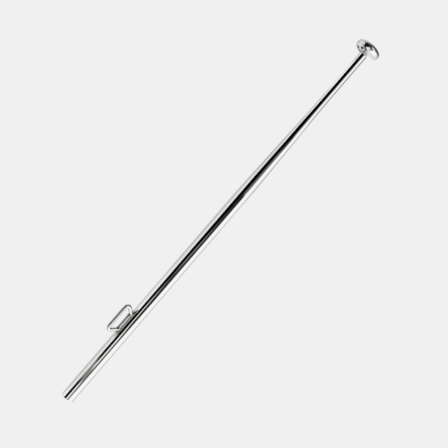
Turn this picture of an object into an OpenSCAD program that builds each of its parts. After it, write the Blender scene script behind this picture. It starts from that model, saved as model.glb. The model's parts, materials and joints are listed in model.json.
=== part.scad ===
// Boat flagstaff: a polished stainless pole with a button truck and a bent wire halyard cleat.
// Millimetres. +Z runs up the staff and the origin is the centre of the foot's flat lower face.
// The cleat and the pair of halyard holes face -Y, which is the front.

/* [Pole] */
// Outside diameter of the foot and of the straight lower pole
pole_d = 25; // [22:0.5:30]
// Outside diameter of the slim tip
tip_d = 15; // [14:0.5:18]
// Wall thickness of the pole tube
tube_wall = 1.5; // [1.2:0.1:1.6]
// Height of the truck's seat above the foot's lower face
staff_h = 800; // [800:10:1200]
// Length of solid foot that stands in the deck socket
foot_len = 55; // [40:1:70]
// Height at which the swaged taper starts
taper_from = 460; // [400:5:500]
// Length of the swaged taper
taper_len = 250; // [180:5:250]

/* [Halyard cleat] */
// Diameter of the cleat's wire
wire_d = 7; // [5:0.5:7]
// Height of the middle of the cleat
cleat_z = 169.5; // [150:0.5:250]
// Distance between the middles of the legs at the pole's surface
feet_gap = 33; // [30:1:44]
// Distance from the pole's surface to the middle of the outer bar
bar_out = 20.3; // [18:0.1:22]
// Outward lean of each leg, in degrees
leg_lean = 35; // [25:1:37]
// Bend radius at the middle of the wire
bend_r = 5; // [5:0.5:6]
// Depth of the saddle ground along the inner bar, which seats it on the pole
saddle = 0.9; // [0.5:0.1:1.2]

/* [Truck] */
// Diameter of the truck
truck_d = 47; // [46:0.5:54]
// Thickness of the truck
truck_h = 23; // [20:0.5:26]
// Radius of the truck's rounded rim
rim_r = 7.5; // [4.5:0.5:8]
// Diameter of each halyard hole
halyard_d = 5; // [4:0.5:6]
// Distance of the halyard holes from the staff's axis
halyard_out = 16.5; // [15:0.1:17.5]
// Angle of each halyard hole to either side of the front, in degrees
halyard_angle = 19; // [18:1:30]

/* [Truck fixing] */
// Thickness of the nylon washer under the truck
washer_t = 1.5; // [1:0.1:2]
// Length of the stud
stud_len = 40; // [30:1:45]
// Length of the threaded insert in the tip
insert_len = 30; // [24:1:40]

/* [Hidden] */

$fn = 96;
POLISHED = "gainsboro";
NYLON = "whitesmoke";
PRESS_GAP = 0.02;      // radial gap that stands for a press fit
THREAD_GAP = 0.05;     // radial gap between the stud's crests and its holes
BEND_STEP = 0.01;      // radial step between the cleat's bends and its straights
OVER = 1;              // how far a cutter runs past the face that it cuts
BLEND = 0.2;           // share of the taper taken by the curve at each of its ends
TAPER_STEPS = 20;      // straight pieces that stand for the swaged curve

pole_r = pole_d / 2;
tip_r = tip_d / 2;
tube_top = staff_h - washer_t;
joint_chamfer = 0.35;  // each side of the fine groove where foot and tube meet
foot_chamfer = 1;
shank_len = 30;
tip_chamfer = 0.5;

wire_r = wire_d / 2;
inner_out = wire_r - saddle;           // from the pole's surface to the middle of the inner bar
turn = 90 + leg_lean;                  // angle of each outer bend; each inner bend turns the rest of 180
outer_trim = bend_r * tan(turn / 2);   // what a bend takes off the unbent runs on each side of it
inner_trim = bend_r / tan(turn / 2);
outer_half = feet_gap / 2 + bar_out * tan(leg_lean) - outer_trim;     // half the straight outer bar
inner_half = feet_gap / 2 + inner_out * tan(leg_lean) - inner_trim;   // half the straight inner bar
leg_from = inner_out / cos(leg_lean) + inner_trim;
leg_to = bar_out / cos(leg_lean) - outer_trim;
weld_r = wire_r + 0.3;
weld_out = 0.3;                        // height of the beads' middle above the pole's surface
weld_len = 9.5;
weld_along = inner_half + 0.75;        // from the cleat's middle to the middle of each bead
weld_taper = 2;

seat_lip = 0.2;        // height of the truck's turned seat below its domed face
rim_out = truck_d / 2 - rim_r;
half_h = truck_h / 2;
face_r = (rim_out * rim_out + half_h * half_h - rim_r * rim_r) / (2 * (half_h - rim_r));
face_drop = face_r - half_h;                             // faces are struck from beyond the middle
seat_rise = sqrt(face_r * face_r - tip_r * tip_r) - face_drop;
truck_z = staff_h + seat_lip + seat_rise;
stud_hole_depth = 13;
stud_z = staff_h + stud_hole_depth - OVER - stud_len;
stud_d = 8;
thread_pitch = 1.25;
thread_depth = 0.61;
socket_af = 4;
socket_depth = 5;

// Share of the way down a taper at share t of its length: straight, with a curve at each end.
function eased(t) =
    t < BLEND ? t * t / (2 * BLEND * (1 - BLEND)) :
    t > 1 - BLEND ? 1 - (1 - t) * (1 - t) / (2 * BLEND * (1 - BLEND)) :
    (t - BLEND / 2) / (1 - BLEND);

// Points [radius, height] up the taper, inset from the outside of the tube.
function taper_points(inset) =
    [for (i = [0 : TAPER_STEPS])
        [pole_r - inset - (pole_r - tip_r) * eased(i / TAPER_STEPS),
         taper_from + taper_len * i / TAPER_STEPS]];

function reversed(list) = [for (i = [len(list) - 1 : -1 : 0]) list[i]];

// A round bar along +Z, chamfered at its lower and upper ends.
module chamfered_bar(r, h, low, high) {
    rotate_extrude()
        polygon([[0, 0], [r - low, 0], [r, low], [r, h - high], [r - high, h], [0, h]]);
}

module foot_spigot() {
    color(POLISHED)
        union() {
            chamfered_bar(pole_r, foot_len, foot_chamfer, joint_chamfer);
            translate([0, 0, foot_len - OVER])
                chamfered_bar(pole_r - tube_wall - PRESS_GAP, shank_len + OVER, 0, foot_chamfer);
        }
}

module pole_tube() {
    outside = concat(
        [[pole_r - joint_chamfer, foot_len], [pole_r, foot_len + joint_chamfer]],
        taper_points(0),
        [[tip_r, tube_top - tip_chamfer], [tip_r - tip_chamfer, tube_top]]);
    inside = concat(
        [[tip_r - tube_wall, tube_top]],
        reversed(taper_points(tube_wall)),
        [[pole_r - tube_wall, foot_len]]);
    color(POLISHED)
        rotate_extrude()
            polygon(concat(outside, inside));
}

// One bend of the loop, struck this far out from the pole's surface and this far from its middle.
module wire_bend(side, out, along, from, angle, r) {
    translate([0, -pole_r - out, cleat_z + side * along])
        rotate([90 * side, 0, -90])
            rotate([0, 0, from])
                rotate_extrude(angle = angle)
                    translate([bend_r, 0])
                        circle(r = r);
}

// A straight run parallel to the pole, let a little way into the bends at its ends.
module wire_bar(out, half, r) {
    translate([0, -pole_r - out, cleat_z - half - BEND_STEP])
        cylinder(r = r - BEND_STEP, h = 2 * (half + BEND_STEP));
}

// The closed loop of wire, with its inner bar still fully round.
module wire_loop(r) {
    wire_bar(bar_out, outer_half, r);
    wire_bar(inner_out, inner_half, r);
    for (side = [-1, 1]) {
        wire_bend(side, bar_out - bend_r, outer_half, 0, turn, r);
        wire_bend(side, inner_out + bend_r, inner_half, turn, 180 - turn, r);
        translate([0, -pole_r, cleat_z + side * feet_gap / 2])
            rotate([90 - side * leg_lean, 0, 0])
                translate([0, 0, leg_from])
                    cylinder(r = r - BEND_STEP, h = leg_to - leg_from);
    }
}

// The pole's outside, beside the cleat.
module pole_beside_cleat() {
    translate([0, 0, cleat_z - feet_gap])
        cylinder(r = pole_r, h = 2 * feet_gap);
}

module halyard_cleat() {
    color(POLISHED)
        difference() {
            wire_loop(wire_r);
            pole_beside_cleat();
        }
}

// A polished fillet bead round each end of the inner bar.
module cleat_welds() {
    color(POLISHED)
        for (side = [-1, 1])
            difference() {
                translate([0, -pole_r - weld_out, cleat_z + side * weld_along - weld_len / 2])
                    chamfered_bar(weld_r, weld_len, weld_taper, weld_taper);
                wire_loop(wire_r + BEND_STEP);
                pole_beside_cleat();
            }
}

module tip_insert() {
    color(POLISHED)
        translate([0, 0, tube_top - insert_len])
            difference() {
                chamfered_bar(tip_r - tube_wall - PRESS_GAP, insert_len, foot_chamfer, 0);
                translate([0, 0, -OVER])
                    cylinder(r = stud_d / 2 + THREAD_GAP, h = insert_len + 2 * OVER);
            }
}

// A threaded stud with rings in place of a helix and a hexagon socket in its upper end.
module truck_stud() {
    crest = stud_d / 2;
    root = crest - thread_depth;
    turns = floor(stud_len / thread_pitch);
    flanks = [for (i = [0 : turns - 1], p = [[root, 0], [crest, 0.4], [crest, 0.5], [root, 0.9]])
        [p[0], (i + p[1]) * thread_pitch]];
    color(POLISHED)
        translate([0, 0, stud_z])
            difference() {
                rotate_extrude()
                    polygon(concat([[0, 0]], flanks, [[root, stud_len], [0, stud_len]]));
                translate([0, 0, stud_len - socket_depth])
                    cylinder(d = socket_af / cos(30), h = socket_depth + OVER, $fn = 6);
            }
}

module seat_washer() {
    color(NYLON)
        translate([0, 0, tube_top])
            difference() {
                cylinder(r = tip_r, h = washer_t);
                translate([0, 0, -OVER])
                    cylinder(r = stud_d / 2 + 4 * THREAD_GAP, h = washer_t + 2 * OVER);
            }
}

// Half of the truck's section: two broad faces joined by a round rim, all tangent, and a flat seat.
module truck_section() {
    difference() {
        intersection() {
            translate([0, -face_drop])
                circle(r = face_r);
            translate([0, face_drop])
                circle(r = face_r);
            translate([0, -half_h])
                square([rim_out * face_r / (face_r - rim_r), truck_h]);
        }
        translate([-OVER, -half_h - OVER])
            square([tip_r + OVER, half_h + OVER - seat_rise]);
    }
    translate([0, -seat_rise - seat_lip])
        square([tip_r, seat_rise]);
    intersection() {
        translate([rim_out, 0])
            circle(r = rim_r);
        translate([rim_out, -rim_r])
            square([rim_r, 2 * rim_r]);
    }
}

module truck() {
    color(POLISHED)
        difference() {
            translate([0, 0, truck_z])
                rotate_extrude()
                    truck_section();
            translate([0, 0, staff_h - OVER])
                cylinder(r = stud_d / 2 + THREAD_GAP, h = stud_hole_depth + OVER);
            for (side = [-1, 1])
                rotate([0, 0, side * halyard_angle])
                    translate([0, -halyard_out, staff_h])
                        cylinder(d = halyard_d, h = truck_h + OVER);
        }
}

foot_spigot();
pole_tube();
halyard_cleat();
cleat_welds();
tip_insert();
truck_stud();
seat_washer();
truck();
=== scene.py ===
import json
import math

import bpy
from mathutils import Matrix, Vector, noise
from mathutils.geometry import delaunay_2d_cdt


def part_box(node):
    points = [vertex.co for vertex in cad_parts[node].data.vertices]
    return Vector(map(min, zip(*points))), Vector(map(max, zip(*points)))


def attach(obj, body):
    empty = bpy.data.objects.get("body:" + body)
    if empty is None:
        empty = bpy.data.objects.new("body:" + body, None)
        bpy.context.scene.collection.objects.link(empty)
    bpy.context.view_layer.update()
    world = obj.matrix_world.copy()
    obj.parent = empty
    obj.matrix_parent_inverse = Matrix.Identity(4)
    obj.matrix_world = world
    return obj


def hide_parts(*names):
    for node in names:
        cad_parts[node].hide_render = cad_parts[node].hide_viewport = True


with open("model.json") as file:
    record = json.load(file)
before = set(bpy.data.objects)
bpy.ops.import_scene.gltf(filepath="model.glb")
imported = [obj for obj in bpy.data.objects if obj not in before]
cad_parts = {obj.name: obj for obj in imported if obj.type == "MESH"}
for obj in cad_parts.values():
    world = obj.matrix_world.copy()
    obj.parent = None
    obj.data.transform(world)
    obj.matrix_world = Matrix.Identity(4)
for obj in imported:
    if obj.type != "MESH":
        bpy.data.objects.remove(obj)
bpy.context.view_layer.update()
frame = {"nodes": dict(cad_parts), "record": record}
MM = 0.001
NODES = frame["nodes"]
MOUNTS = {mount["name"]: mount for mount in frame["record"]["mounts"]}


# ---------------------------------------------------------------- sizes
def tenth(value):
    """A CAD size read from a faceted mesh, put back on the design's tenth of a millimetre."""
    return round(value / MM, 1) * MM


foot_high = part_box("foot_spigot")[1]
tube_low, tube_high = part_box("pole_tube")
cleat_low, cleat_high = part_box("halyard_cleat")
washer_low, washer_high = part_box("seat_washer")
truck_low, truck_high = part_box("truck")

POLE_R = MOUNTS["foot"]["dims"]["r_mm"] * MM
TIP_R = tenth(washer_high.x)
TUBE_WALL = 1.5 * MM
FOOT_TOP = tube_low.z
TUBE_TOP = tube_high.z
TAPER_FROM = 460 * MM
TAPER_LEN = 250 * MM
TAPER_BLEND = 0.2        # share of the taper taken by the curve at each of its ends

WIRE_R = tenth(cleat_high.x)
BEND_R = 5 * MM
LEG_LEAN = math.radians(35)
BAR_Y = cleat_low.y + WIRE_R
BAR_OUT = -BAR_Y - POLE_R
CLEAT_Z = (cleat_low.z + cleat_high.z) / 2
SADDLE = 0.9 * MM        # depth of the seat ground along the inner bar
INNER_OUT = WIRE_R - SADDLE
INNER_Y = -POLE_R - INNER_OUT
INNER_TURN = math.pi / 2 - LEG_LEAN
OUTER_HALF = cleat_high.z - CLEAT_Z - WIRE_R - BEND_R
LEGS_HALF = OUTER_HALF + BEND_R / math.tan(INNER_TURN / 2) - BAR_OUT * math.tan(LEG_LEAN)
INNER_HALF = LEGS_HALF + INNER_OUT * math.tan(LEG_LEAN) - BEND_R * math.tan(INNER_TURN / 2)

SEAT_Z = truck_low.z
TRUCK_R = tenth(truck_high.x)
TRUCK_HALF = 11.5 * MM
RIM_R = 7.5 * MM
TRUCK_Z = truck_high.z - TRUCK_HALF
RIM_OUT = TRUCK_R - RIM_R
FACE_R = (RIM_OUT ** 2 + TRUCK_HALF ** 2 - RIM_R ** 2) / (2 * (TRUCK_HALF - RIM_R))
FACE_DROP = FACE_R - TRUCK_HALF
TANGENT_R = RIM_OUT * FACE_R / (FACE_R - RIM_R)
STUD_BORE = 4.05 * MM
STUD_DEPTH = 13 * MM
HOLES = [Vector(MOUNTS[name]["pos_m"]).to_2d() for name in ("halyard_hole_left", "halyard_hole_right")]
HOLE_R = MOUNTS["halyard_hole_left"]["dims"]["r_mm"] * MM
HOLE_EDGE = 0.45 * MM    # rounding where a halyard hole meets a face

AROUND = 192             # segments round a turned piece
ACROSS = Vector((1, 0, 0))


# ---------------------------------------------------------------- meshes
def circle_angles(count):
    return [2 * math.pi * i / count for i in range(count)]


def spoke(angle):
    return Vector((math.cos(angle), math.sin(angle)))


def spun(radial, upward, count=AROUND):
    """One (radial, upward) direction, carried round the Z axis."""
    return [Vector((radial * math.cos(a), radial * math.sin(a), upward)) for a in circle_angles(count)]


class Skin:
    """A mesh built face by face, with the true surface normal kept at every corner."""

    def __init__(self):
        self.points = []
        self.faces = []
        self.normals = []
        self.rings = {}

    def add(self, points):
        start = len(self.points)
        self.points.extend(points)
        return list(range(start, len(self.points)))

    def ring(self, r, z):
        """The ring of points at this radius and height, made once; at radius 0 it is one point repeated."""
        key = (round(r / MM, 5), round(z / MM, 5))
        if key not in self.rings:
            if r < 1e-9:
                self.rings[key] = self.add([Vector((0, 0, z))]) * AROUND
            else:
                self.rings[key] = self.add([p + Vector((0, 0, z)) for p in spun(r, 0)])
        return self.rings[key]

    def face(self, indices, normals):
        kept = [k for k, v in enumerate(indices) if v not in indices[:k]]
        if len(kept) > 2:
            self.faces.append([indices[k] for k in kept])
            self.normals.extend(normals[k] for k in kept)

    def band(self, low, high, low_normals, high_normals):
        """Quads between two rings. They face outwards where the second ring is the upper one."""
        for i in range(len(low)):
            j = (i + 1) % len(low)
            self.face([low[i], low[j], high[j], high[i]],
                      [low_normals[i], low_normals[j], high_normals[j], high_normals[i]])

    def turned(self, runs):
        """Turns runs of (radius, height, normal angle) points round Z, the outside going upwards."""
        for run in runs:
            for (r0, z0, a0), (r1, z1, a1) in zip(run, run[1:]):
                self.band(self.ring(r0, z0), self.ring(r1, z1),
                          spun(math.cos(a0), math.sin(a0)), spun(math.cos(a1), math.sin(a1)))

    def finish(self, name, node):
        mesh = bpy.data.meshes.new(name)
        mesh.from_pydata([tuple(p) for p in self.points], [], self.faces)
        mesh.update()
        for polygon in mesh.polygons:
            polygon.use_smooth = True
        if self.normals:
            mesh.normals_split_custom_set([tuple(n) for n in self.normals])
        obj = bpy.data.objects.new(name, mesh)
        bpy.context.scene.collection.objects.link(obj)
        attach(obj, "root")
        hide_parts(node)
        return obj


def line(start, end, steps=1):
    """A straight run from one (radius, height) to another."""
    normal = math.atan2(start[0] - end[0], end[1] - start[1])
    return [(start[0] + (end[0] - start[0]) * k / steps, start[1] + (end[1] - start[1]) * k / steps, normal)
            for k in range(steps + 1)]


def arc(cr, cz, r, start, end, steps):
    """A convex run on a circle; angles in degrees from straight out, anticlockwise."""
    turns = [math.radians(start + (end - start) * k / steps) for k in range(steps + 1)]
    return [(cr + r * math.cos(a), cz + r * math.sin(a), a) for a in turns]


def through(*corners):
    """Straight runs through a list of (radius, height) corners."""
    return [line(a, b) for a, b in zip(corners, corners[1:])]


# ---------------------------------------------------------------- foot and pole
SEAM = 0.12 * MM         # each side of the fine groove where foot and tube meet


def build_foot():
    edge = 1.0 * MM
    shank_r = POLE_R - TUBE_WALL - 0.02 * MM
    skin = Skin()
    skin.turned([line((0, 0), (POLE_R - edge, 0), 8),
                 arc(POLE_R - edge, edge, edge, -90, 0, 10),
                 line((POLE_R, edge), (POLE_R, FOOT_TOP - SEAM), 8),
                 arc(POLE_R - SEAM, FOOT_TOP - SEAM, SEAM, 0, 90, 6)])
    skin.turned(through((POLE_R - SEAM, FOOT_TOP), (shank_r, FOOT_TOP), (shank_r, foot_high.z - edge),
                        (shank_r - edge, foot_high.z), (0, foot_high.z)))
    return skin.finish("foot_spigot_turned", "foot_spigot")


def eased(t):
    """Share of the way down the taper at share t of its length, and the slope there."""
    if t > 0.5:
        share, slope = eased(1 - t)
        return 1 - share, slope
    full = 1 / (1 - TAPER_BLEND)
    if t < TAPER_BLEND:
        return t * t / (2 * TAPER_BLEND) * full, t / TAPER_BLEND * full
    return (t - TAPER_BLEND / 2) * full, full


def taper(inset, steps=80):
    run = []
    for k in range(steps + 1):
        share, slope = eased(k / steps)
        lean = math.atan((POLE_R - TIP_R) / TAPER_LEN * slope)
        run.append((POLE_R - inset - (POLE_R - TIP_R) * share, TAPER_FROM + TAPER_LEN * k / steps, lean))
    return run


def build_pole():
    lip = 0.5 * MM
    taper_top = TAPER_FROM + TAPER_LEN
    skin = Skin()
    skin.turned([arc(POLE_R - SEAM, FOOT_TOP + SEAM, SEAM, -90, 0, 6),
                 line((POLE_R, FOOT_TOP + SEAM), (POLE_R, TAPER_FROM), 40),
                 taper(0),
                 line((TIP_R, taper_top), (TIP_R, TUBE_TOP - lip), 12),
                 arc(TIP_R - lip, TUBE_TOP - lip, lip, 0, 90, 6)])
    skin.turned(through((TIP_R - lip, TUBE_TOP), (TIP_R - TUBE_WALL, TUBE_TOP),
                        (TIP_R - TUBE_WALL, taper_top)))
    skin.turned([[(r, z, math.pi + a) for r, z, a in reversed(taper(TUBE_WALL))]])
    skin.turned(through((POLE_R - TUBE_WALL, TAPER_FROM), (POLE_R - TUBE_WALL, FOOT_TOP),
                        (POLE_R - SEAM, FOOT_TOP)))
    return skin.finish("pole_tube_swaged", "pole_tube")


# ---------------------------------------------------------------- cleat and its welds
def off_pole(point):
    """The point itself, or if it lies inside the pole, the place beside it just under the pole's surface."""
    radius = point.to_2d().length
    seat = POLE_R - 0.05 * MM
    return Vector((*(point.to_2d() * seat / radius), point.z)) if radius < seat else point


def half_loop():
    """Points and directions on the wire's axis, from the inner bar's middle down and round to the outer's."""
    def heading(turned):
        return Vector((0, -math.sin(turned), -math.cos(turned)))

    def on_bend(centre, turned):
        return centre + BEND_R * Vector((0, math.cos(turned), -math.sin(turned))), heading(turned)

    inner_bend = Vector((0, INNER_Y - BEND_R, CLEAT_Z - INNER_HALF))
    outer_bend = Vector((0, BAR_Y + BEND_R, CLEAT_Z - OUTER_HALF))
    path = [(Vector((0, INNER_Y, CLEAT_Z - INNER_HALF * k / 6)), heading(0)) for k in range(6)]
    path += [on_bend(inner_bend, INNER_TURN * k / 16) for k in range(17)]
    leg_low, leg_high = path[-1][0], on_bend(outer_bend, INNER_TURN)[0]
    path += [(leg_low.lerp(leg_high, k / 4), heading(INNER_TURN)) for k in range(1, 4)]
    path += [on_bend(outer_bend, INNER_TURN + (math.pi - INNER_TURN) * k / 24) for k in range(25)]
    path += [(Vector((0, BAR_Y, CLEAT_Z - OUTER_HALF * (1 - k / 6))), heading(math.pi))
             for k in range(1, 7)]
    return path


def build_cleat():
    lower = half_loop()
    upper = [(Vector((0, p.y, 2 * CLEAT_Z - p.z)), Vector((0, -d.y, d.z)))
             for p, d in reversed(lower[1:-1])]
    skin = Skin()
    rings = []
    for point, direction in lower + upper:
        outward = [math.cos(a) * ACROSS + math.sin(a) * direction.cross(ACROSS) for a in circle_angles(96)]
        rings.append((skin.add([off_pole(point + WIRE_R * n) for n in outward]), outward))
    for (low, low_normals), (high, high_normals) in zip(rings, rings[1:] + rings[:1]):
        skin.band(low, high, low_normals, high_normals)
    return skin.finish("halyard_cleat_wire", "halyard_cleat")


WELD_R = WIRE_R + 0.3 * MM
WELD_LEN = 9.5 * MM
WELD_OUT = 0.3 * MM      # height of the beads' middle above the pole's surface
WELD_PAST = 0.75 * MM    # from each end of the straight inner bar to the bead's middle


def weld_middle(side):
    return Vector((0, -POLE_R - WELD_OUT, CLEAT_Z + side * (INNER_HALF + WELD_PAST)))


def build_welds():
    """A rippled bead round each end of the inner bar; its middle is hidden in the wire."""
    skin = Skin()
    stations = 48
    angles = circle_angles(64)
    for side in (-1, 1):
        middle = weld_middle(side)
        rings = []
        for k in range(1, stations):
            t = -math.cos(math.pi * k / stations)
            swell = (1 - abs(t) ** 2.6) ** 0.5
            ring = []
            for a in angles:
                lump = noise.noise(Vector((math.cos(a) * 1.5, t * 2.5, 3.0 * side)))
                r = WELD_R * swell * (0.96 + 0.03 * math.cos(30 * t + 2 * math.cos(a)) + 0.06 * lump)
                point = middle + Vector((r * math.cos(a), r * math.sin(a), t * WELD_LEN / 2))
                ring.append(off_pole(point))
            rings.append(skin.add(ring))
        for low, high in zip(rings, rings[1:]):
            for i in range(len(low)):
                j = (i + 1) % len(low)
                skin.faces.append([low[i], low[j], high[j], high[i]])
        for ring, end in ((rings[0], -1), (rings[-1], 1)):
            tip = skin.add([off_pole(middle + Vector((0, 0, end * WELD_LEN / 2)))])[0]
            for i, j in zip(ring, ring[1:] + ring[:1]):
                skin.faces.append([i, j, tip] if end == 1 else [j, i, tip])
    return skin.finish("cleat_weld_beads", "cleat_welds")


# ---------------------------------------------------------------- washer and truck
def build_washer():
    bore, edge = 4.2 * MM, 0.3 * MM
    low, high = washer_low.z, washer_high.z
    skin = Skin()
    skin.turned([line((bore, low), (TIP_R - edge, low)),
                 arc(TIP_R - edge, low + edge, edge, -90, 0, 6),
                 line((TIP_R, low + edge), (TIP_R, high - edge)),
                 arc(TIP_R - edge, high - edge, edge, 0, 90, 6),
                 line((TIP_R - edge, high), (bore, high)),
                 line((bore, high), (bore, low))])
    return skin.finish("seat_washer_nylon", "seat_washer")


def face_height(r):
    """Height of the truck's domed faces above its mid-plane."""
    return math.sqrt(FACE_R ** 2 - r * r) - FACE_DROP


def face_point(p, side):
    return Vector((p.x, p.y, TRUCK_Z + side * face_height(p.length)))


def face_normal(p, side):
    return Vector((p.x, p.y, side * (face_height(p.length) + FACE_DROP))).normalized()


def dome(skin, side, radii):
    """One domed face, open at the halyard holes and inside its first radius. Returns the holes' rings."""
    flat, index, edges, mouths, gaps = [], [], [], [], []
    clear = HOLE_R + HOLE_EDGE

    def close(points, indices):
        start = len(flat)
        flat.extend(points)
        index.extend(indices)
        edges.extend((start + i, start + (i + 1) % len(points)) for i in range(len(points)))

    for hole in HOLES:
        mouth = [hole + clear * spoke(a) for a in circle_angles(64)]
        mouths.append(skin.add([face_point(p, side) for p in mouth]))
        gaps.append(range(len(flat), len(flat) + len(mouth)))
        close(mouth, mouths[-1])
    for r in (radii[0], radii[-1]):
        if r > 0:
            close([r * spoke(a) for a in circle_angles(AROUND)],
                  skin.ring(r, TRUCK_Z + side * face_height(r)))
    for r in radii[:-1] if radii[0] == 0 else radii[1:-1]:
        count = max(1, int(AROUND * r / radii[-1]))
        ring = [r * spoke(a) for a in circle_angles(count)]
        ring = [p for p in ring if all((p - hole).length > clear + 0.25 * MM for hole in HOLES)]
        flat.extend(ring)
        index.extend(skin.add([face_point(p, side) for p in ring]))
    points, _, triangles = delaunay_2d_cdt(flat, edges, [], 0, 1e-7)[:3]
    for triangle in triangles:
        middle = sum((points[v] for v in triangle), Vector((0, 0))) / 3
        if middle.length < radii[0] or any(all(v in gap for v in triangle) for gap in gaps):
            continue
        corners = list(triangle)[::side]
        skin.face([index[v] for v in corners], [face_normal(points[v], side) for v in corners])
    return mouths


def hole_wall(skin, hole, low_mouth, high_mouth):
    """The wall of a halyard hole, rounded over into both faces of the truck."""
    angles = circle_angles(len(low_mouth))
    quarter = [math.pi / 2 * k / 6 for k in range(7)]
    rings = []
    for side, turns in ((-1, quarter), (1, quarter[::-1])):
        for q in turns:
            points, normals = [], []
            for a in angles:
                p = hole + spoke(a) * (HOLE_R + HOLE_EDGE * (1 - math.sin(q)))
                deep = HOLE_EDGE * (1 - math.cos(q))
                points.append(face_point(p, side) - Vector((0, 0, side * deep)))
                normal = face_normal(p, side) * math.cos(q) - spoke(a).to_3d() * math.sin(q)
                normals.append(normal.normalized())
            mouth = {-1: low_mouth, 1: high_mouth}[side]
            rings.append((mouth if q == 0 else skin.add(points), normals))
    for (low, low_normals), (high, high_normals) in zip(rings, rings[1:]):
        skin.band(high, low, high_normals, low_normals)


def build_truck():
    skin = Skin()
    lip = 0.15 * MM
    step = 0.9 * MM
    rim_turn = math.degrees(math.atan2(face_height(TANGENT_R), TANGENT_R - RIM_OUT))
    upper_steps = int(TANGENT_R / step)
    lower_steps = int((TANGENT_R - TIP_R) / step)
    upper = [TANGENT_R * k / upper_steps for k in range(upper_steps + 1)]
    lower = [TIP_R + (TANGENT_R - TIP_R) * k / lower_steps for k in range(lower_steps + 1)]
    face_z = TRUCK_Z - face_height(TIP_R)
    skin.turned(through((0, SEAT_Z + STUD_DEPTH), (STUD_BORE, SEAT_Z + STUD_DEPTH), (STUD_BORE, SEAT_Z),
                        (TIP_R - lip, SEAT_Z)))
    skin.turned([arc(TIP_R - lip, SEAT_Z + lip, lip, -90, 0, 4),
                 line((TIP_R, SEAT_Z + lip), (TIP_R, face_z)),
                 arc(RIM_OUT, TRUCK_Z, RIM_R, -rim_turn, rim_turn, 32)])
    low_mouths = dome(skin, -1, lower)
    high_mouths = dome(skin, 1, upper)
    for hole, low_mouth, high_mouth in zip(HOLES, low_mouths, high_mouths):
        hole_wall(skin, hole, low_mouth, high_mouth)
    return skin.finish("truck_turned", "truck")


# ---------------------------------------------------------------- shader maths
class Field:
    """A number that varies over a surface or over the sky, worked out by maths nodes."""

    def __init__(self, tree, socket):
        self.tree = tree
        self.socket = socket

    def maths(self, operation, *others):
        node = self.tree.nodes.new("ShaderNodeMath")
        node.operation = operation
        for slot, value in zip(node.inputs, (self,) + others):
            if isinstance(value, Field):
                self.tree.links.new(value.socket, slot)
            else:
                slot.default_value = value
        return Field(self.tree, node.outputs[0])

    def __add__(self, other):
        return self.maths("ADD", other)

    def __sub__(self, other):
        return self.maths("SUBTRACT", other)

    def __mul__(self, other):
        return self.maths("MULTIPLY", other)

    def step(self, start, end):
        """0 before start and 1 after end, with a smooth rise between; a fall, where end is the lower."""
        node = self.tree.nodes.new("ShaderNodeMapRange")
        node.interpolation_type = "SMOOTHSTEP"
        self.tree.links.new(self.socket, node.inputs["Value"])
        for name, value in (("From Min", start), ("From Max", end)):
            if isinstance(value, Field):
                self.tree.links.new(value.socket, node.inputs[name])
            else:
                node.inputs[name].default_value = value
        return Field(self.tree, node.outputs["Result"])

    def band(self, low, high, soft):
        """1 between low and high, and 0 outside, with edges as wide as soft."""
        return (self - low).step(-soft / 2, soft / 2) * (self - high).step(soft / 2, -soft / 2)

    def towards(self, level, share):
        """Moves this number towards a level by a share from 0 to 1."""
        gap = self * -1 + level
        return self + gap * share


def vector_maths(tree, operation, a, b, output="Vector"):
    node = tree.nodes.new("ShaderNodeVectorMath")
    node.operation = operation
    for slot, value in zip(node.inputs, (a, b)):
        if isinstance(value, bpy.types.NodeSocket):
            tree.links.new(value, slot)
        else:
            slot.default_value = value
    return node.outputs[output]


def noise_field(tree, vector, scale, detail=2.0, roughness=0.5):
    node = tree.nodes.new("ShaderNodeTexNoise")
    node.inputs["Scale"].default_value = scale
    node.inputs["Detail"].default_value = detail
    node.inputs["Roughness"].default_value = roughness
    tree.links.new(vector, node.inputs["Vector"])
    return Field(tree, node.outputs["Fac"])


def blend_colour(tree, share, a, b):
    node = tree.nodes.new("ShaderNodeMix")
    node.data_type = "RGBA"
    tree.links.new(share.socket, node.inputs["Factor"])
    for slot, value in ((6, a), (7, b)):
        if isinstance(value, bpy.types.NodeSocket):
            tree.links.new(value, node.inputs[slot])
        else:
            node.inputs[slot].default_value = (*value, 1)
    return node.outputs[2]


def bump(tree, height, distance, under=None):
    node = tree.nodes.new("ShaderNodeBump")
    node.inputs["Strength"].default_value = 1.0
    node.inputs["Distance"].default_value = distance
    tree.links.new(height.socket, node.inputs["Height"])
    if under is not None:
        tree.links.new(under, node.inputs["Normal"])
    return node.outputs["Normal"]


# ---------------------------------------------------------------- materials
def new_material(name):
    material = bpy.data.materials.new(name)
    material.use_nodes = True
    tree = material.node_tree
    shader = next(node for node in tree.nodes if node.type == "BSDF_PRINCIPLED")
    place = tree.nodes.new("ShaderNodeTexCoord").outputs["Object"]
    return material, tree, shader, place


def turning_lines(tree, place, per_metre):
    """Fine lines that run round the staff's axis on any turned face, whichever way the face looks."""
    split = tree.nodes.new("ShaderNodeSeparateXYZ")
    tree.links.new(place, split.inputs[0])
    flat = vector_maths(tree, "MULTIPLY", place, (1, 1, 0))
    radius = Field(tree, vector_maths(tree, "LENGTH", flat, flat, "Value"))
    join = tree.nodes.new("ShaderNodeCombineXYZ")
    tree.links.new((radius * per_metre).socket, join.inputs["X"])
    tree.links.new((Field(tree, split.outputs["Z"]) * per_metre).socket, join.inputs["Y"])
    tree.links.new((Field(tree, split.outputs["X"]) * 90 + Field(tree, split.outputs["Y"]) * 70).socket,
                   join.inputs["Z"])
    return noise_field(tree, join.outputs[0], 1.0, detail=3.0)


def near(tree, place, centres, reach, core):
    """1 within core of the nearest of these points, falling to 0 at reach."""
    total = None
    for centre in centres:
        mask = Field(tree, vector_maths(tree, "DISTANCE", place, centre, "Value")).step(reach, core)
        total = mask if total is None else total.maths("MAXIMUM", mask)
    return total


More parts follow.
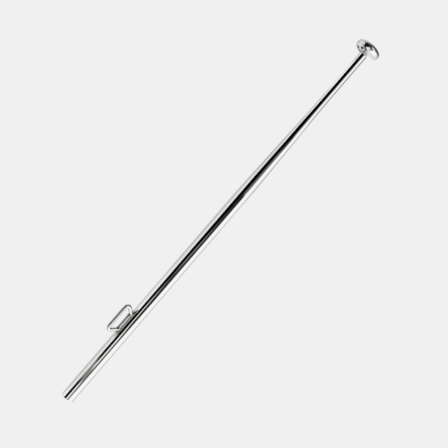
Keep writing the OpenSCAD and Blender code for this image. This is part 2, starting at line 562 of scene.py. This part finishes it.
def by_welds(tree, place, reach):
    """1 on the welds, falling to 0 at this distance from their middles."""
    return near(tree, place, [weld_middle(-1), weld_middle(1)], reach, 3 * MM)


def dark_weld_marks(tree, place):
    """Darker colour by the welds, its cause guessed: faint all round, dark at the inner bar's ends and the
    beads' toes.
    """
    ends = [Vector((0, INNER_Y, CLEAT_Z + side * (INNER_HALF - 1 * MM))) for side in (-1, 1)]
    toes = [Vector((0, -POLE_R, CLEAT_Z + side * (INNER_HALF + 6 * MM))) for side in (-1, 1)]
    faint = by_welds(tree, place, 14 * MM) * noise_field(tree, place, 300).step(0.3, 0.7) * 0.12
    at_ends = near(tree, place, ends, 4.6 * MM, 3.6 * MM) * 0.8
    at_toes = near(tree, place, toes, 5.5 * MM, 3.5 * MM) * 0.6
    return faint.maths("MAXIMUM", at_ends).maths("MAXIMUM", at_toes)


def painted_bore_shade(tree, place):
    """1 on the walls of the halyard holes, where shade is painted into the steel's colour."""
    flat = vector_maths(tree, "MULTIPLY", place, (1, 1, 0))
    return near(tree, flat, [hole.to_3d() for hole in HOLES], HOLE_R + 0.25 * MM, HOLE_R + 0.05 * MM)


STEEL = (0.600, 0.597, 0.588)
STRAW = (0.560, 0.490, 0.400)
BLUED = (0.200, 0.205, 0.240)
# darker colour for the marks by the welds, of uncertain cause
WELD_DARK = (0.150, 0.130, 0.115)
BORE_SHADE = (0.070, 0.070, 0.070)      # painted shade: far below bare steel's own colour, so that the holes read dark


def mirror_steel(name, darken, colour, dulling):
    """Polished stainless: faint wheel lines, slight waves, soft smears; coloured and dulled under the darken
    mask, which paints shade in the truck's holes and darkens the marks by the welds.
    """
    material, tree, shader, place = new_material(name)
    smears = noise_field(tree, place, 55, detail=4.0, roughness=0.6).step(0.45, 0.75)
    wheel = turning_lines(tree, place, 9000)
    darkening = darken(tree, place)
    shader.inputs["Metallic"].default_value = 1
    tree.links.new(blend_colour(tree, darkening, STEEL, colour), shader.inputs["Base Color"])
    rough = smears * 0.03 + wheel * 0.02 + darkening * dulling + 0.025
    tree.links.new(rough.socket, shader.inputs["Roughness"])
    waves = bump(tree, noise_field(tree, place, 22, detail=1.0), 0.00002)
    tree.links.new(bump(tree, wheel, 0.0000001, waves), shader.inputs["Normal"])
    return material


def weld_steel():
    """A dressed weld: buffed but still rippled, with straw and blue heat colours at its toe."""
    material, tree, shader, place = new_material("dressed_weld")
    heat = by_welds(tree, place, 7.5 * MM)
    patches = noise_field(tree, place, 900, detail=3.0)
    warm = blend_colour(tree, patches.step(0.35, 0.6), STEEL, STRAW)
    shader.inputs["Metallic"].default_value = 1
    toe = heat.band(0.05, 0.6, 0.2) * 0.9
    tree.links.new(blend_colour(tree, toe, warm, BLUED), shader.inputs["Base Color"])
    tree.links.new((patches * 0.2 + 0.12).socket, shader.inputs["Roughness"])
    tree.links.new(bump(tree, noise_field(tree, place, 2500, detail=3.0), 0.00006), shader.inputs["Normal"])
    return material


def turned_steel():
    """Bright steel straight from the lathe, for the fixings inside."""
    material, tree, shader, place = new_material("turned_stainless")
    lines = turning_lines(tree, place, 5000)
    shader.inputs["Metallic"].default_value = 1
    tree.links.new(blend_colour(tree, lines, (0.50, 0.49, 0.47), STEEL), shader.inputs["Base Color"])
    tree.links.new((lines * 0.15 + 0.22).socket, shader.inputs["Roughness"])
    tree.links.new(bump(tree, lines, 0.00002), shader.inputs["Normal"])
    return material


def nylon():
    """Natural nylon: milky and a little waxy, faintly clouded."""
    material, tree, shader, place = new_material("natural_nylon")
    cloud = noise_field(tree, place, 700, detail=3.0)
    tree.links.new(blend_colour(tree, cloud, (0.82, 0.81, 0.77), (0.70, 0.68, 0.63)),
                   shader.inputs["Base Color"])
    tree.links.new((cloud * 0.2 + 0.35).socket, shader.inputs["Roughness"])
    shader.inputs["Subsurface Weight"].default_value = 0.3
    shader.inputs["Subsurface Radius"].default_value = (0.0012, 0.0010, 0.0008)
    tree.links.new(bump(tree, noise_field(tree, place, 4000), 0.00002), shader.inputs["Normal"])
    return material


def dress(obj, material):
    obj.data.materials.clear()
    obj.data.materials.append(material)


# ---------------------------------------------------------------- camera and studio
CAMERA_AZIMUTH = math.radians(54)
CAMERA_ROLL = math.radians(40.79)
TOWARD = Vector((math.sin(CAMERA_AZIMUTH), -math.cos(CAMERA_AZIMUTH), 0))
RIGHT = Vector((math.cos(CAMERA_AZIMUTH), math.sin(CAMERA_AZIMUTH), 0))
UP = Vector((0, 0, 1))
CAMERA_PLACE = TOWARD * 1.344 + RIGHT * 0.00896 + UP * 0.4127
PALE = 0.8714            # radiance of the floor and of the backdrop


def build_camera():
    """Level with the staff's middle and square to it, rolled so that the staff leans across the frame."""
    data = bpy.data.cameras.new("camera")
    data.sensor_width = 36
    data.lens = 61.2
    camera = bpy.data.objects.new("camera", data)
    bpy.context.scene.collection.objects.link(camera)
    across = math.cos(CAMERA_ROLL) * RIGHT + math.sin(CAMERA_ROLL) * UP
    above = math.cos(CAMERA_ROLL) * UP - math.sin(CAMERA_ROLL) * RIGHT
    turn = Matrix((across, above, TOWARD)).transposed().to_4x4()
    camera.matrix_world = Matrix.Translation(CAMERA_PLACE) @ turn
    bpy.context.scene.camera = camera


def studio_light(tree):
    """Radiance of the studio by direction: white screens, and the black flags that stripe the steel.

    az is the direction's angle from the camera, positive to the right, and el its height, in degrees.
    This is not an even light. Its edges and levels are fitted for the stripes seen from the camera, so
    they say nothing of how the steel looks under other lights.
    """
    look = tree.nodes.new("ShaderNodeTexCoord").outputs["Generated"]
    degrees = 180 / math.pi
    right = Field(tree, vector_maths(tree, "DOT_PRODUCT", look, RIGHT, "Value"))
    toward = Field(tree, vector_maths(tree, "DOT_PRODUCT", look, TOWARD, "Value"))
    upward = Field(tree, vector_maths(tree, "DOT_PRODUCT", look, UP, "Value"))
    az = right.maths("ARCTAN2", toward) * degrees
    el = upward.maths("ARCSINE") * degrees

    low = el.step(-5.5, -9.5)      # 1 well below the level of the staff's middle
    high = el.step(3, 4.2)         # 1 above it

    # screens to either side, the left one brighter towards the camera
    light = az.step(-135, -60) * 0.55 + 0.76 + el.step(-15.7, -18) * 0.3
    light = light + el.band(-9.5, -5, 1.5) * 0.13 - el.band(6.5, 9.5, 1.5) * 0.08
    light = light + el.band(12.6, 15.2, 0.8) * 0.33
    beyond = el.band(-19, 18, 4) * -1 + 1
    light = light.towards(0.68, az.step(-105, -80) * az.step(-30, -45) * beyond)
    light = light.towards(1.55, az.step(18, 42) * az.step(124, 88))
    light = light.towards(el.step(-17, -22) * 0.2 + 0.95, az.step(90, 126) * az.step(179, 160))
    light = light.towards(0.58, az.step(100, 150) * el.step(1.5, 5) * 0.9)

    # a dull patch that only the cleat's bars and the pole behind them can see
    light = light.towards(0.35, az.band(-92, -46, 8) * el.band(-11.5, -9.3, 0.5))

    # between the flags: a bright slit low down, closed by a small grey card, and dim higher up
    slit = low * (el.band(-15.6, -14.4, 0.6) * -0.8 + 1) * 1.2 + 0.04
    slit = slit - el.step(-17, -21) * 0.45 + el.step(-32, -46) * 0.7
    slit = slit + el.band(-4.8, -1.2, 1.4) * 0.18 + el.step(1.5, -0.5) * 0.06
    light = light.towards(slit, az.band(-22, 24, 6))

    # second flag: narrow and dark, only a faint edge well below the staff
    edge = el.band(-10.9, -6, 1.5) * -8 + 11
    second = (az - edge).step(-2.5, 2.5) * (az - el.step(-12, -7) * 5 - 37).step(2.5, -2.5)
    second = second * el.step(4.2, 3)
    dim = el.step(-9.5, -12.5) * 0.14 + el.step(-15.9, -16.9) * 0.25 + el.step(-18, -26) * 0.2 + 0.04
    light = light.towards(dim, second)

    # above the middle, dark by the camera and rising to the right, in steps while it is still low
    rise = az.step(el.step(10.8, 11.6) * -19 + 27, el.step(16.5, 22) * -16 + 48) * 1.3
    rise = rise + az.step(-6, 8) * (el.step(10.2, 9.6) * 0.14 + el.step(11.6, 10.8) * 0.06)
    light = light.towards(rise, az.band(-30, 44, 4) * high)

    # first flag: broad and black, leaning away below the staff
    left = el.step(-17, -24) * -10 - el.step(3, 9) * 4 - el.step(9.5, 12.5) * 7 - 51
    right = el.step(-30, -52) * -24 + el.band(-2.5, 3, 2) * 5 - 10
    grey = el.band(-15.4, -13.7, 0.7) * 0.37
    light = light.towards(grey, (az - left).step(-2.5, 2.5) * (az - right).step(2.5, -2.5))

    # grey wall high to the right, dark ceiling, and a dull floor behind on the left
    wall = az.step(80, 108) * az.step(180, 164)
    light = light.towards(el.step(16, 26) * -0.25 + 0.42, wall * el.step(10.8, 12.8))
    light = light.towards(0.14, az.step(38, 66) * az.step(150, 115) * el.step(15.8, 26))
    light = light.towards(0.15, az.step(-95, -40) * az.step(185, 170) * el.step(26, 62))
    light = light.towards(0.15, el.step(68, 80))
    light = light.towards(0.3, az.band(-185, -60, 20) * el.step(-54, -64))
    light = light.towards(0.38, az.step(-162, -171) * el.band(-54, 4, 8))
    return light


def build_world():
    world = bpy.data.worlds.new("studio")
    bpy.context.scene.world = world
    world.use_nodes = True
    tree = world.node_tree
    background = tree.nodes["Background"]
    seen = Field(tree, tree.nodes.new("ShaderNodeLightPath").outputs["Is Camera Ray"])
    level = studio_light(tree).towards(PALE, seen)
    tree.links.new(level.socket, background.inputs["Strength"])
    background.inputs["Color"].default_value = (1, 1, 1, 1)


def build_floor():
    """A round pale floor just under the foot, as bright as the backdrop and clear from below."""
    radius = 1.5
    height = -0.2 * MM
    skin = Skin()
    skin.turned([[(radius, height, math.pi / 2), (0, height, math.pi / 2)]])
    mesh = bpy.data.meshes.new("floor")
    mesh.from_pydata([tuple(p) for p in skin.points], [], skin.faces)
    floor = bpy.data.objects.new("floor", mesh)
    bpy.context.scene.collection.objects.link(floor)
    material = bpy.data.materials.new("pale_floor")
    material.use_nodes = True
    tree = material.node_tree
    tree.nodes.clear()
    glow = tree.nodes.new("ShaderNodeEmission")
    glow.inputs["Color"].default_value = (PALE, PALE, PALE, 1)
    clear = tree.nodes.new("ShaderNodeBsdfTransparent")
    mix = tree.nodes.new("ShaderNodeMixShader")
    tree.links.new(tree.nodes.new("ShaderNodeNewGeometry").outputs["Backfacing"], mix.inputs["Fac"])
    tree.links.new(glow.outputs[0], mix.inputs[1])
    tree.links.new(clear.outputs[0], mix.inputs[2])
    tree.links.new(mix.outputs[0], tree.nodes.new("ShaderNodeOutputMaterial").inputs["Surface"])
    dress(floor, material)
    floor.visible_glossy = False
    floor.visible_diffuse = False
    floor.visible_shadow = False


# ---------------------------------------------------------------- the staff
# the pole and cleat are darkened by the welds; the cause of these marks is uncertain
mirror = mirror_steel("mirror_polished_stainless", dark_weld_marks, WELD_DARK, 0.1)
dress(build_foot(), mirror)
dress(build_pole(), mirror)
dress(build_cleat(), mirror)
dress(build_welds(), weld_steel())
dress(build_washer(), nylon())
# painted shade: the walls of the truck's halyard holes get a near-black steel colour
dress(build_truck(), mirror_steel("mirror_polished_truck", painted_bore_shade, BORE_SHADE, 0.3))
turned = turned_steel()
for inner in ("tip_insert", "truck_stud"):
    dress(NODES[inner], turned)

build_camera()
build_world()
build_floor()
bpy.context.scene.view_settings.view_transform = "Standard"
